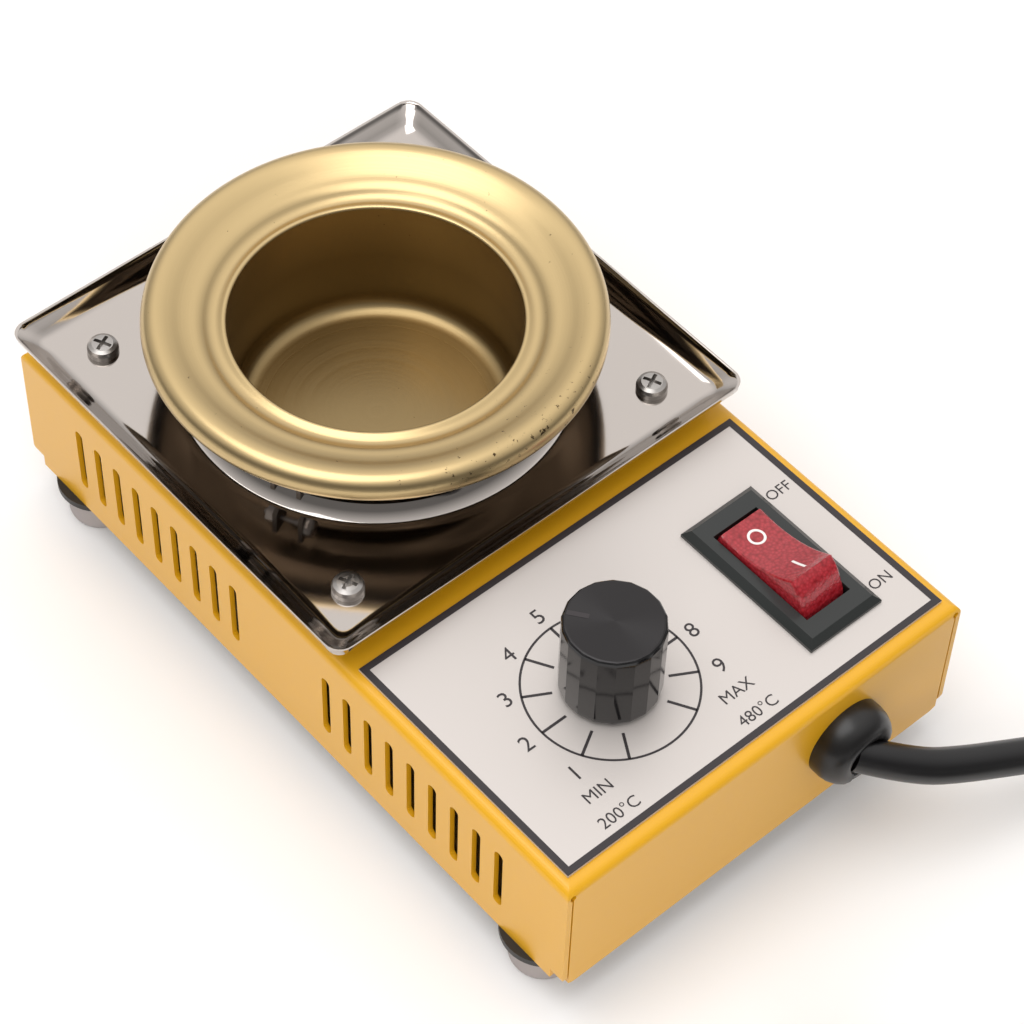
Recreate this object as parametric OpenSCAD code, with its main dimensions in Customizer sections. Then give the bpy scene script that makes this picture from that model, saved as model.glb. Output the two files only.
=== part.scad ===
// Small electric solder pot: a folded steel housing on four feet, a stainless
// drip tray on top, a spun brass-coloured crucible in a band heater, and a
// control panel with a temperature knob and a lit rocker switch.
// Front is -Y, +X is to the right, +Z is up. The origin is on the floor under
// the middle of the object. All sizes are millimetres.

/* [Housing] */
// Width of the housing
box_w = 86; // [82:1:92]
// Length of the housing, front to back
box_l = 143; // [141:1:160]
// Height of the housing without its feet
box_h = 28; // [27:0.5:34]
// Thickness of the folded steel sheet
sheet_t = 1; // [0.8:0.1:1.2]
// Outer radius of the folds along the top edges
fold_r = 1.8; // [1.3:0.1:2.6]
// Radius of the lower corners of the four walls
corner_r = 3; // [1:0.5:3.5]
// Width of the seam at each upright corner
seam_w = 0.3; // [0.2:0.1:0.5]
// Thickness of the base plate
base_t = 1; // [0.8:0.1:1.2]
// Height of the base plate's side flanges
base_flange_h = 4; // [2:0.5:5]

/* [Vents] */
// Number of slots in each group
vent_count = 9; // [6:1:9]
// Distance between neighbouring slots
vent_pitch = 5.4; // [4:0.1:5.5]
// Width of a slot
vent_w = 2; // [1.4:0.1:2.6]
// Length of a slot
vent_len = 14.8; // [10:0.2:16]
// Distance from the middle of the housing to the first slot of each group
vent_start = 12.3; // [9:0.1:13]
// Distance of the slots' middle below the top of the housing
vent_drop = 14.5; // [12:0.1:15]

/* [Feet] */
// Height of a foot with its cup washer
foot_h = 8.5; // [7:0.5:11]
// Radius of the rubber foot
foot_r = 6; // [5:0.1:6.8]
// Radius of the cup washer above the foot
foot_cup_r = 7.5; // [7:0.1:8.2]
// Thickness of the cup washer
foot_cup_t = 2; // [1.5:0.1:2.5]
// Distance from a side of the housing to the foot's middle
foot_inset_x = 6; // [5.6:0.1:7]
// Distance from the front or back of the housing to the foot's middle
foot_inset_y = 11; // [9:0.5:14]

/* [Tray] */
// Side of the square drip tray
tray_side = 89.5; // [88:0.5:92]
// Thickness of the tray's stainless sheet
tray_t = 0.8; // [0.6:0.1:1]
// Width of the raised rim, seen from above
tray_rim_w = 4.3; // [3:0.1:5.5]
// Height of the rim above the flat
tray_rim_h = 3.4; // [2:0.1:4.5]
// Corner radius of the tray
tray_corner_r = 3; // [2:0.5:6]
// Height of the spacers under the tray
spacer_h = 2.6; // [1.5:0.1:4]
// Outer radius of a spacer
spacer_r = 3.2; // [2.8:0.1:4]
// Distance between neighbouring tray screws
tray_screw_pitch = 66.6; // [65.8:0.2:69]
// Inner radius of the collar's lip
collar_r = 31.5; // [30.5:0.1:32.5]
// Height of the collar above the flat
collar_h = 2.6; // [1.5:0.1:4]
// Width of the collar's slope, seen from above
collar_w = 3; // [2:0.1:4]

/* [Crucible] */
// Inner radius of the crucible
pot_r = 25; // [24:0.1:25.4]
// Inner depth of the crucible, from hole edge to floor
pot_depth = 24.9; // [23:0.1:26]
// Height of the crucible's hole edge above the housing
pot_rise = 17.1; // [16:0.1:20]
// Wall thickness of the crucible
pot_t = 1.2; // [1:0.1:1.4]
// Inner radius between the wall and the floor
pot_fillet = 3.5; // [2:0.1:5]
// Outer radius of the crucible's flange at its rolled edge
flange_r = 39.4; // [38:0.1:42]
// Radius of the rolled edge's section
bead_r = 1.9; // [1.5:0.1:2.2]

/* [Heater] */
// Height of the band heater
heater_h = 19.5; // [17:0.5:20]
// Thickness of the mica winding
mica_t = 1.2; // [1:0.1:1.3]
// Thickness of the heater's steel band
band_t = 0.8; // [0.6:0.1:0.9]
// Width of the gap where the band is clamped
clamp_gap = 4; // [3:0.5:5]
// Direction of the clamp around the crucible, in degrees
clamp_angle = -156; // [-180:1:-130]
// Thickness of the ceramic disc under the crucible
disc_t = 4; // [3:0.5:6]
// Radius of the ceramic disc
disc_r = 27; // [25:0.5:30]
// Width of the cradle that carries the disc
cradle_w = 22; // [16:1:30]
// Thickness of the cradle's strap
cradle_t = 1; // [0.8:0.1:1.5]

/* [Panel] */
// Thickness of the panel plate
label_t = 0.5; // [0.3:0.1:0.8]
// Margin between the panel plate and the sides of the housing
label_side = 2.2; // [2:0.1:4]
// Margin between the panel plate and the front of the housing
label_front = 2.6; // [2:0.1:4]
// Gap between the panel plate and the tray
label_gap = 0.4; // [0.3:0.1:1.5]
// Sideways place of the knob from the middle of the panel
dial_x = -12; // [-13:0.5:-11]
// Lengthwise place of the knob from the middle of the panel
dial_y = -2.8; // [-5:0.1:-1]

/* [Knob] */
// Radius of the knob over its flats' corners
knob_r = 8.5; // [8:0.1:9.5]
// Height of the knob's top above the housing
knob_top = 17.6; // [16:0.1:20]
// Number of flats around the knob
knob_flats = 18; // [14:2:24]
// Gap between the knob and the panel
knob_gap = 0.8; // [0.5:0.1:1.2]
// Depth of the pointer groove
groove_d = 0.5; // [0.3:0.1:0.8]
// Width of the pointer groove
groove_w = 0.9; // [0.6:0.1:1.4]
// Radius of the potentiometer's shaft
shaft_r = 3; // [2.8:0.1:3.2]
// Radius of the potentiometer's threaded bush
bush_r = 3.7; // [3.6:0.05:3.9]
// Radius of the potentiometer's can
can_r = 8.2; // [7.5:0.1:8.6]
// Height of the potentiometer's can
can_h = 9; // [7:0.5:9]

/* [Switch] */
// Sideways place of the switch from the middle of the panel
switch_x = 25; // [24:0.5:26.5]
// Lengthwise place of the switch from the middle of the panel
switch_y = -3.6; // [-5:0.1:-2]
// Width of the switch's bezel
bezel_w = 16; // [15.4:0.1:17]
// Length of the switch's bezel
bezel_l = 31; // [30.4:0.1:33]
// Thickness of the bezel
bezel_t = 1.7; // [1.2:0.1:2.2]
// Width of the switch's case
case_w = 12.8; // [12.4:0.1:13.4]
// Length of the switch's case
case_l = 27.6; // [26.6:0.1:28.4]
// Depth of the switch's case below the panel
case_d = 19.5; // [15:0.5:20]
// Width of the rocker
rocker_w = 9.2; // [8.4:0.1:9.6]
// Distance from the pivot to the rocker's ends
rocker_end = 10.7; // [10:0.1:10.9]
// Tilt of the rocker at rest, in degrees
rocker_tilt = 13; // [10:0.5:14]

/* [Electronics] */
// Width of the circuit board
board_w = 42; // [41:0.5:44]
// Length of the circuit board
board_l = 36; // [34:0.5:38]
// Thickness of the circuit board
board_t = 1.6; // [1:0.2:2]
// Height of the board's stand-offs
standoff_h = 5; // [4.5:0.1:5.5]
// Height of the tallest parts on the board
part_h = 9; // [8:0.1:9.4]
// Distance of the board from the front and left walls
board_inset = 12; // [11.5:0.5:14]
// Width of the heat sink
sink_w = 24; // [16:1:28]
// Height of the heat sink
sink_h = 14; // [10:0.5:16]
// Thickness of a heat sink fin
fin_t = 1.2; // [0.8:0.1:1.6]
// Length of a heat sink fin
fin_l = 4; // [3:0.5:5]

/* [Gland] */
// Radius of the gland's outer flange
gland_r = 7.6; // [7.2:0.1:8.2]
// How far the gland stands out of the front wall
gland_out = 5.8; // [4.5:0.1:6.5]
// Radius of the gland's neck in the wall
gland_neck_r = 6.2; // [5.8:0.1:6.6]
// Distance of the gland's middle below the top of the housing
gland_drop = 13.4; // [12.5:0.1:14]

/* [Hidden] */

// Clearances
thread_gap = 0.2;      // round a screw in its hole
running_gap = 0.05;    // round a turning shaft
seat_gap = 0.1;        // between neighbouring parts that only seat
sleeve_gap = 0.15;     // between crucible, mica and band
rocker_gap = 0.3;      // between the rocker and its case
swing_gap = 0.4;       // beyond the rocker's ends

// Screws: M3 pan heads with hexagon nuts
m3_r = 1.5;
m3_head_r = 2.75;
m3_head_h = 2;
m3_nut_r = 3.1;
m3_nut_h = 2.4;
m3_tail = 0.8;         // screw end that stands past its nut

// Levels
base_top = foot_h + base_t;
top_z = foot_h + box_h;
under_top = top_z - sheet_t;
panel_z = top_z + label_t;
tray_under = top_z + spacer_h;
tray_top = tray_under + tray_t;

// Housing
wall_x = box_w / 2 - sheet_t;
wall_y = box_l / 2 - sheet_t;
foot_x = box_w / 2 - foot_inset_x;
foot_y = box_l / 2 - foot_inset_y;
tab_w = foot_inset_x - sheet_t + m3_nut_r + 0.4;
tab_l = 2 * foot_cup_r;
foot_web = 2;

// Tray and heater axis
pot_y = box_l / 2 - tray_side / 2;
screw_d = tray_screw_pitch / 2;
heater_hole_r = collar_r + 1.6;

// Crucible levels and radii, from the hole edge outwards
pot_edge_z = top_z + pot_rise;
pot_floor_z = pot_edge_z - pot_depth;
pot_out_r = pot_r + pot_t;
bead_c = flange_r - bead_r;
groove_r = pot_r + 2.3;
shoulder_r = pot_r + 5.1;
plateau_r = bead_c - 2.6;

// Heater levels and radii
heater_z = pot_floor_z + 0.3;
mica_in = pot_out_r + sleeve_gap;
mica_out = mica_in + mica_t;
band_in = mica_out + sleeve_gap;
band_out = band_in + band_t;
disc_z = pot_floor_z - pot_t - disc_t;
cradle_leg_x = disc_r - 1;
cradle_foot_x = cradle_leg_x + 6;
cradle_foot_y = cradle_w * 0.28;
clamp_r = 1.25;
clamp_head_r = 2.2;
clamp_head_h = 1.6;
ear_top = heater_z + heater_h - 0.4;
ear_low = tray_top + collar_h + 0.6;
ear_out = band_out + 2.2 * clamp_head_r;
clamp_at = band_out + clamp_head_r + 0.3;

// Panel
label_w = box_w - 2 * label_side;
label_l = box_l - tray_side - label_front - label_gap;
label_y = -box_l / 2 + label_front + label_l / 2;
knob_y = label_y + dial_y;
rocker_y = label_y + switch_y;

// Knob and potentiometer
bush_top = panel_z + 5.5;
nut_t = 2;
washer_t = 0.5;
nut_r = 5.7;
knob_wall = 1.3;
knob_roof = 2.5;
hub_r = shaft_r + 1.4;
hub_z = bush_top + 0.5;
shaft_z = under_top - can_h + 2;
shaft_top = top_z + knob_top - knob_roof - 0.5;
pointer_angle = 127;

// Switch
well_w = rocker_w + 2 * rocker_gap;
well_l = 2 * (rocker_end + swing_gap);
pivot_z = top_z - 2;
pin_r = 1;
pin_len = 0.9;
rocker_low = 3;
well_z = pivot_z - rocker_end * sin(rocker_tilt) - rocker_low - 0.9;
case_z = panel_z - case_d;
blade_gap = 1.2;

// Electronics
board_x = -wall_x + board_inset + board_w / 2;
board_y = -wall_y + board_inset + board_l / 2;
board_z = base_top + standoff_h;
board_top = board_z + board_t;
stand_x = board_w / 2 - 3;
stand_y = board_l / 2 - 3;
sink_y = board_y + board_l / 2 - 5.5;

// Gland and cord: the lead leaves the gland's head slantwise, falls to the floor
// and ends in a round coil with its plug beside it
gland_x = 17.5;
gland_z = top_z - gland_drop;
cord_r = 3.1;
cord_gap = 0.15;
cord_route = [[16.1, -75.6, 23.8], [18.9, -78.2, 22.6], [22.3, -80.9, 21], [26.9, -83.7, 18.9],
              [33.2, -86.3, 16.6], [39.8, -88.6, 14.3], [46.6, -91, 11.9], [54.5, -95.1, 9.5],
              [60.7, -100.7, 7.3], [65.2, -107.8, 5.6], [67.7, -115.7, 4.5], [68.2, -122, 4],
              [68.3, -131, 3.7], [68.3, -140, 3.6], [68.3, -149, 3.6], [68.3, -157, 3.6]];
end_route = [[7.2, -203.1, 9.8], [-0.8, -198.5, 9.7], [-8.5, -194, 9.5], [-15, -190.3, 9.3],
             [-21.9, -184.5, 9], [-26.4, -176.7, 8.7], [-28, -168, 8.6]];
coil_c = [28, -167];
coil_in = 21.6;
coil_out = 44.8;
coil_z = 0.5;
coil_h = 12.4;
tie_t = 0.4;
tie_from = -12;        // direction of the tie's first side, in degrees
tie_span = 14;
plug_w = 23;
plug_h = 17;
plug_len = 26;
tail_len = 18;

// ---------- shared shapes ----------

// Pan head screw that points down, its bearing face at z = 0
module pan_screw(len, r = m3_r, head_r = m3_head_r, head_h = m3_head_h) {
    translate([0, 0, -len]) cylinder(r = r, h = len + 0.2, $fn = 32);
    difference() {
        rotate_extrude($fn = 48)
            polygon([[0, 0], [head_r, 0], [head_r, head_h * 0.45],
                     [head_r * 0.9, head_h * 0.78], [head_r * 0.68, head_h * 0.95],
                     [head_r * 0.4, head_h], [0, head_h]]);
        for (a = [0, 90]) rotate(a)
            translate([-head_r * 0.6, -head_r * 0.12, head_h * 0.4])
                cube([head_r * 1.2, head_r * 0.24, head_h]);
    }
}

// Hexagon nut on its own axis, its lower face at z = 0
module hex_nut(r = m3_nut_r, h = m3_nut_h, bore = m3_r) {
    difference() {
        cylinder(r = r, h = h, $fn = 6);
        translate([0, 0, -1]) cylinder(r = bore, h = h + 2, $fn = 32);
    }
}

// Copies to the four corners of a rectangle
module at_corners(dx, dy) {
    for (sx = [-1, 1], sy = [-1, 1]) translate([sx * dx, sy * dy, 0]) children();
}

// Flat rectangle with round corners
module round_rect(w, l, r) {
    hull() at_corners(w / 2 - r, l / 2 - r) circle(r = r, $fn = 32);
}

// Points of an arc about c from angle a to angle b
function arc(c, r, a, b, n) =
    [for (i = [0:n]) let (t = a + (b - a) * i / n) [c[0] + r * cos(t), c[1] + r * sin(t)]];

// ---------- housing ----------

// Section of a box with two rounded top edges
module fold_section(half, z0, z1, r) {
    polygon(concat([[-half, z0], [half, z0]],
                   arc([half - r, z1 - r], r, 0, 90, 8),
                   arc([-half + r, z1 - r], r, 90, 180, 8)));
}

// Solid with folded top edges on all four sides
module folded_block(w, l, z0, z1, r) {
    intersection() {
        rotate([90, 0, 0]) linear_extrude(l + 10, center = true)
            fold_section(w / 2, z0, z1, r);
        rotate([90, 0, 90]) linear_extrude(w + 10, center = true)
            fold_section(l / 2, z0, z1, r);
    }
}

module vent_slot() {
    straight = vent_len - vent_w;
    rotate([90, 0, 90]) linear_extrude(4 * sheet_t, center = true) {
        square([vent_w, straight], center = true);
        for (s = [-1, 1]) translate([0, s * straight / 2]) circle(r = vent_w / 2, $fn = 24);
    }
}

// What a round lower corner takes off a wall whose corner is at the origin, wall towards -X
module corner_waste(r) {
    polygon(concat([[1, -1], [1, r]], arc([-r, r], r, 0, -90, 8), [[-r, -1]]));
}

module housing() {
    color("goldenrod") difference() {
        union() {
            difference() {
                folded_block(box_w, box_l, foot_h, top_z, fold_r);
                folded_block(box_w - 2 * sheet_t, box_l - 2 * sheet_t, foot_h - 1,
                             under_top, fold_r - sheet_t);
            }
            // Turned-in tabs that the foot screws hold
            for (sx = [-1, 1], sy = [-1, 1])
                translate([sx * (wall_x - tab_w / 2 + 0.2), sy * foot_y, base_top + sheet_t / 2])
                    cube([tab_w + 0.4, tab_l, sheet_t], center = true);
        }
        translate([0, 0, top_z - vent_drop])
            for (sx = [-1, 1], sy = [-1, 1], k = [0:vent_count - 1])
                translate([sx * (box_w - sheet_t) / 2, sy * (vent_start + k * vent_pitch), 0])
                    vent_slot();
        // Openings of the top
        translate([0, pot_y, under_top - 1]) {
            cylinder(r = heater_hole_r, h = sheet_t + 2, $fn = 96);
            at_corners(screw_d, screw_d) cylinder(r = m3_r + thread_gap, h = sheet_t + 2, $fn = 32);
        }
        translate([dial_x, knob_y, under_top - 1])
            cylinder(r = bush_r + seat_gap, h = sheet_t + 2, $fn = 48);
        translate([switch_x, rocker_y, top_z])
            cube([case_w + 2 * seat_gap, case_l + 2 * seat_gap, 4 * sheet_t], center = true);
        // Hole of the gland in the front wall
        translate([gland_x, -box_l / 2 - 1, gland_z]) rotate([-90, 0, 0])
            cylinder(r = gland_neck_r + seat_gap, h = sheet_t + 2, $fn = 64);
        // Foot screw holes
        at_corners(foot_x, foot_y) translate([0, 0, base_top - 1])
            cylinder(r = m3_r + thread_gap, h = sheet_t + 2, $fn = 32);
        // Corner seams with a round relief at their upper end, and round lower corners
        for (sx = [-1, 1], sy = [-1, 1]) {
            translate([sx * (wall_x - seam_w / 2), sy * (box_l - sheet_t) / 2,
                       (foot_h + top_z - fold_r) / 2 - 1]) {
                cube([seam_w, 4 * sheet_t, box_h - fold_r + 2], center = true);
                translate([0, 0, (box_h - fold_r + 2) / 2]) rotate([90, 0, 0])
                    cylinder(r = 0.6, h = 4 * sheet_t, center = true, $fn = 24);
            }
            translate([sx * box_w / 2, sy * box_l / 2, foot_h]) {
                rotate([90, 0, 0]) linear_extrude(6 * sheet_t, center = true)
                    scale([sx, 1]) corner_waste(corner_r);
                rotate([90, 0, 90]) linear_extrude(2.2 * sheet_t, center = true)
                    scale([sy, 1]) corner_waste(corner_r);
            }
        }
    }
}

module base_plate() {
    w = box_w - 2 * sheet_t - 2 * seat_gap;
    l = box_l - 2 * sheet_t - 2 * seat_gap;
    flange_l = 2 * (foot_y - tab_l / 2 - 2);
    color("silver") difference() {
        union() {
            translate([-w / 2, -l / 2, foot_h]) cube([w, l, base_t]);
            for (sx = [-1, 1]) translate([sx * (w - base_t) / 2, 0, base_top + base_flange_h / 2 - 0.2])
                cube([base_t, flange_l, base_flange_h + 0.4], center = true);
        }
        at_corners(foot_x, foot_y) translate([0, 0, foot_h - 1])
            cylinder(r = m3_r + thread_gap, h = base_t + 2, $fn = 32);
        translate([0, pot_y, foot_h - 1]) at_corners(cradle_foot_x, cradle_foot_y)
            cylinder(r = m3_r + thread_gap, h = base_t + 2, $fn = 32);
        translate([board_x, board_y, foot_h - 1]) at_corners(stand_x, stand_y)
            cylinder(r = m3_r + thread_gap, h = base_t + 2, $fn = 32);
    }
}

// ---------- feet ----------

module foot_cups() {
    color("#222222") at_corners(foot_x, foot_y) translate([0, 0, foot_h - foot_cup_t])
        rotate_extrude($fn = 64)
            polygon([[m3_r + thread_gap, 0], [foot_cup_r - 0.7, 0], [foot_cup_r, 0.7],
                     [foot_cup_r, foot_cup_t], [m3_r + thread_gap, foot_cup_t]]);
}

module feet() {
    h = foot_h - foot_cup_t;
    color("darkgray") at_corners(foot_x, foot_y) rotate_extrude($fn = 64)
        polygon([[m3_head_r + 0.5, 0], [foot_r - 0.9, 0], [foot_r - 0.3, 0.25], [foot_r - 0.1, 0.8],
                 [foot_r, h], [m3_r + thread_gap, h], [m3_r + thread_gap, h - foot_web],
                 [m3_head_r + 0.5, h - foot_web]]);
}

module foot_screws() {
    seat = foot_h - foot_cup_t - foot_web;
    nut_z = base_top + sheet_t;
    color("silver") at_corners(foot_x, foot_y) {
        translate([0, 0, seat]) mirror([0, 0, 1])
            pan_screw(nut_z + m3_nut_h + m3_tail - seat);
        translate([0, 0, nut_z]) hex_nut();
    }
}

// ---------- tray ----------

// Half of the tray's curved height profile: flat, a hollow curve, then the slope
function tray_curve() =
    let (x0 = tray_side / 2 - tray_rim_w, n = 6)
    concat([for (i = [0:n]) let (s = i / n) [x0 - 1 + s * 2.4, tray_rim_h * 0.26 * s * s]],
           [for (i = [1:3]) let (s = i / 3)
                [x0 + 1.4 + s * (tray_rim_w - 1.4), tray_rim_h * (0.26 + 0.74 * pow(s, 0.9))]],
           [[tray_side / 2 + 2, tray_rim_h * 1.5]]);

// Everything above the tray's pressed surface
module above_tray() {
    c = tray_curve();
    n = len(c);
    left = [for (i = [0:n - 1]) [-c[n - 1 - i][0], c[n - 1 - i][1]]];
    section = concat(left, c, [[tray_side / 2 + 2, 20], [-tray_side / 2 - 2, 20]]);
    intersection() {
        rotate([90, 0, 0]) linear_extrude(tray_side + 8, center = true) polygon(section);
        rotate([90, 0, 90]) linear_extrude(tray_side + 8, center = true) polygon(section);
    }
}

module tray() {
    color("lightgray") translate([0, pot_y, tray_under]) difference() {
        union() {
            difference() {
                intersection() {
                    above_tray();
                    linear_extrude(20) round_rect(tray_side, tray_side, tray_corner_r);
                }
                translate([0, 0, tray_t]) above_tray();
                translate([0, 0, -1]) cylinder(r = collar_r + collar_w, h = 20, $fn = 96);
            }
            collar();
        }
        at_corners(screw_d, screw_d) translate([0, 0, -1])
            cylinder(r = m3_r + thread_gap, h = tray_t + 2, $fn = 32);
    }
}

// Pressed collar round the heater: it rises and leans in to a thin lip
module collar() {
    outer = [for (i = [0:8]) let (s = i / 8)
        [collar_r + collar_w * (1 - s) * (1 - 0.25 * s), tray_t + collar_h * pow(s, 1.3)]];
    inner = [for (i = [0:8]) let (s = 1 - i / 8)
        [collar_r - 0.1 + (collar_w - tray_t * 0.7) * (1 - s) * (1 - 0.25 * s), collar_h * pow(s, 1.3) + tray_t * 0.3 * s]];
    rotate_extrude($fn = 96)
        polygon(concat([[collar_r + collar_w + 1, 0], [collar_r + collar_w + 1, tray_t]], outer, inner));
}

module tray_spacers() {
    color("silver") translate([0, pot_y, top_z]) at_corners(screw_d, screw_d) difference() {
        cylinder(r = spacer_r, h = spacer_h, $fn = 48);
        translate([0, 0, -1]) cylinder(r = m3_r + thread_gap, h = spacer_h + 2, $fn = 32);
    }
}

module tray_screws() {
    color("silver") translate([0, pot_y, tray_top]) at_corners(screw_d, screw_d)
        rotate(25) pan_screw(tray_top - under_top + m3_nut_h + m3_tail);
}

module tray_nuts() {
    color("silver") translate([0, pot_y, under_top - m3_nut_h]) at_corners(screw_d, screw_d)
        hex_nut(bore = m3_r + running_gap);
}

// ---------- crucible and heater ----------

// Spun profile: floor, fillet, wall, hole edge, groove, shoulder, plateau, rolled edge
module crucible() {
    low = pot_floor_z - pot_edge_z;
    fo = pot_fillet + pot_t;
    upper = concat(
        [[0, low]],
        arc([pot_r - pot_fillet, low + pot_fillet], pot_fillet, -90, 0, 8),
        arc([pot_r + 0.6, -0.6], 0.6, 180, 60, 6),
        [[groove_r - 0.7, -0.45], [groove_r, -0.6], [groove_r + 0.8, -0.3],
         [shoulder_r - 1, 0.7], [shoulder_r, 1.1], [shoulder_r + 1.5, 1.35],
         [plateau_r, 1.5]],
        arc([bead_c, 1.5], bead_r, 150, -150, 20));
    under = concat(
        [[plateau_r, 1.5 - pot_t], [shoulder_r + 1.5, 1.35 - pot_t], [shoulder_r + 0.4, 1.1 - pot_t],
         [groove_r + 1.2, -0.3 - pot_t], [groove_r + 0.3, -0.7 - pot_t]],
        arc([pot_out_r + 1, -2.8], 1, 90, 180, 5),
        arc([pot_out_r - fo, low - pot_t + fo], fo, 0, -90, 8),
        [[0, low - pot_t]]);
    color("#C8AE78") translate([0, pot_y, pot_edge_z])
        rotate_extrude($fn = 128) polygon(concat(upper, under));
}

// Slot through a ring at the clamp
module clamp_slot(r, w) {
    rotate(clamp_angle) translate([0, -w / 2, -1]) cube([r, w, heater_h + 2]);
}

module heater_mica() {
    color("peru") translate([0, pot_y, heater_z]) difference() {
        cylinder(r = mica_out, h = heater_h, $fn = 96);
        translate([0, 0, -1]) cylinder(r = mica_in, h = heater_h + 2, $fn = 96);
        clamp_slot(mica_out + 5, clamp_gap * 0.6);
    }
}

module heater_band() {
    ear_h = ear_top - ear_low;
    color("gainsboro") translate([0, pot_y, 0]) difference() {
        union() {
            translate([0, 0, heater_z]) difference() {
                cylinder(r = band_out, h = heater_h, $fn = 96);
                translate([0, 0, -1]) cylinder(r = band_in, h = heater_h + 2, $fn = 96);
                clamp_slot(band_out + 5, clamp_gap - 0.4);
            }
            rotate(clamp_angle) for (s = [-1, 1])
                translate([band_in + 0.4, s * (clamp_gap + band_t) / 2 - band_t / 2, ear_low])
                    cube([ear_out - band_in - 0.4, band_t, ear_h]);
        }
        rotate(clamp_angle) translate([clamp_at, 0, (ear_low + ear_top) / 2]) rotate([90, 0, 0])
            cylinder(r = clamp_r + seat_gap, h = clamp_gap + 2 * band_t + 2, center = true, $fn = 32);
    }
}

module clamp_screw() {
    face = clamp_gap / 2 + band_t;
    color("silver") translate([0, pot_y, 0]) rotate(clamp_angle)
        translate([clamp_at, 0, (ear_low + ear_top) / 2]) {
            translate([0, face, 0]) rotate([-90, 0, 0])
                pan_screw(2 * face + 2.2, clamp_r, clamp_head_r, clamp_head_h);
            translate([0, -face, 0]) rotate([90, 0, 0]) hex_nut(clamp_head_r, 1.6, clamp_r);
        }
}

// Two threaded studs in ceramic beads on the front of the band, inside the housing
module heater_terminals() {
    color("ivory") translate([0, pot_y, heater_z + 4]) for (a = [-98, -82]) rotate(a)
        translate([band_out + seat_gap, 0, 0]) rotate([0, 90, 0]) {
            cylinder(r = 1.2, h = 7.6, $fn = 24);
            cylinder(r = 2.4, h = 3.2, $fn = 32);
        }
}

module insulation_disc() {
    color("white") translate([0, pot_y, disc_z]) cylinder(r = disc_r, h = disc_t, $fn = 96);
}

// Steel strap bent to a table: it carries the disc and stands on the base plate
module heater_cradle() {
    x1 = cradle_leg_x;
    x2 = cradle_leg_x + 11;
    h = disc_z - base_top;
    t = cradle_t;
    section = [[-x2, 0], [-x1, 0], [-x1, h - t], [x1, h - t], [x1, 0], [x2, 0], [x2, t],
               [x1 + t, t], [x1 + t, h - 1], [x1 + t - 1, h],
               [-x1 - t + 1, h], [-x1 - t, h - 1], [-x1 - t, t], [-x2, t]];
    color("silver") translate([0, pot_y, base_top]) difference() {
        rotate([90, 0, 0]) linear_extrude(cradle_w, center = true) polygon(section);
        at_corners(cradle_foot_x, cradle_foot_y) translate([0, 0, -1])
            cylinder(r = m3_r + thread_gap, h = t + 2, $fn = 32);
    }
}

module cradle_screws() {
    nut_z = base_top + cradle_t;
    color("silver") translate([0, pot_y, 0]) at_corners(cradle_foot_x, cradle_foot_y) {
        translate([0, 0, foot_h]) mirror([0, 0, 1]) pan_screw(nut_z + m3_nut_h + m3_tail - foot_h);
        translate([0, 0, nut_z]) hex_nut();
    }
}

// ---------- panel ----------

module panel_plate() {
    color("#CCC4BF") difference() {
        translate([-label_w / 2, label_y - label_l / 2, top_z]) cube([label_w, label_l, label_t]);
        translate([dial_x, knob_y, top_z - 1])
            cylinder(r = bush_r + seat_gap, h = label_t + 2, $fn = 48);
        translate([switch_x, rocker_y, top_z])
            cube([case_w + 2 * seat_gap, case_l + 2 * seat_gap, 4], center = true);
    }
}

// Can, threaded bush and three tags, with a bore for the shaft
module potentiometer() {
    color("silver") translate([dial_x, knob_y, 0]) difference() {
        union() {
            translate([0, 0, under_top - can_h]) cylinder(r = can_r, h = can_h, $fn = 64);
            translate([0, 0, under_top - 1]) cylinder(r = bush_r, h = bush_top - under_top + 1, $fn = 48);
            translate([0, -can_r, under_top - can_h + 0.6]) for (k = [-1:1])
                translate([5 * k - 0.6, -4, 0]) cube([1.2, 6, 0.6]);
        }
        translate([0, 0, shaft_z - 0.3]) cylinder(r = shaft_r + running_gap, h = 40, $fn = 48);
    }
}

module pot_washer() {
    color("silver") translate([dial_x, knob_y, panel_z]) difference() {
        cylinder(r = nut_r, h = washer_t, $fn = 48);
        translate([0, 0, -1]) cylinder(r = bush_r + seat_gap, h = washer_t + 2, $fn = 48);
    }
}

module pot_nut() {
    color("silver") translate([dial_x, knob_y, panel_z + washer_t]) hex_nut(nut_r, nut_t, bush_r + running_gap);
}

module control_shaft() {
    color("silver") translate([dial_x, knob_y, shaft_z])
        cylinder(r = shaft_r, h = shaft_top - shaft_z, $fn = 48);
}

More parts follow.
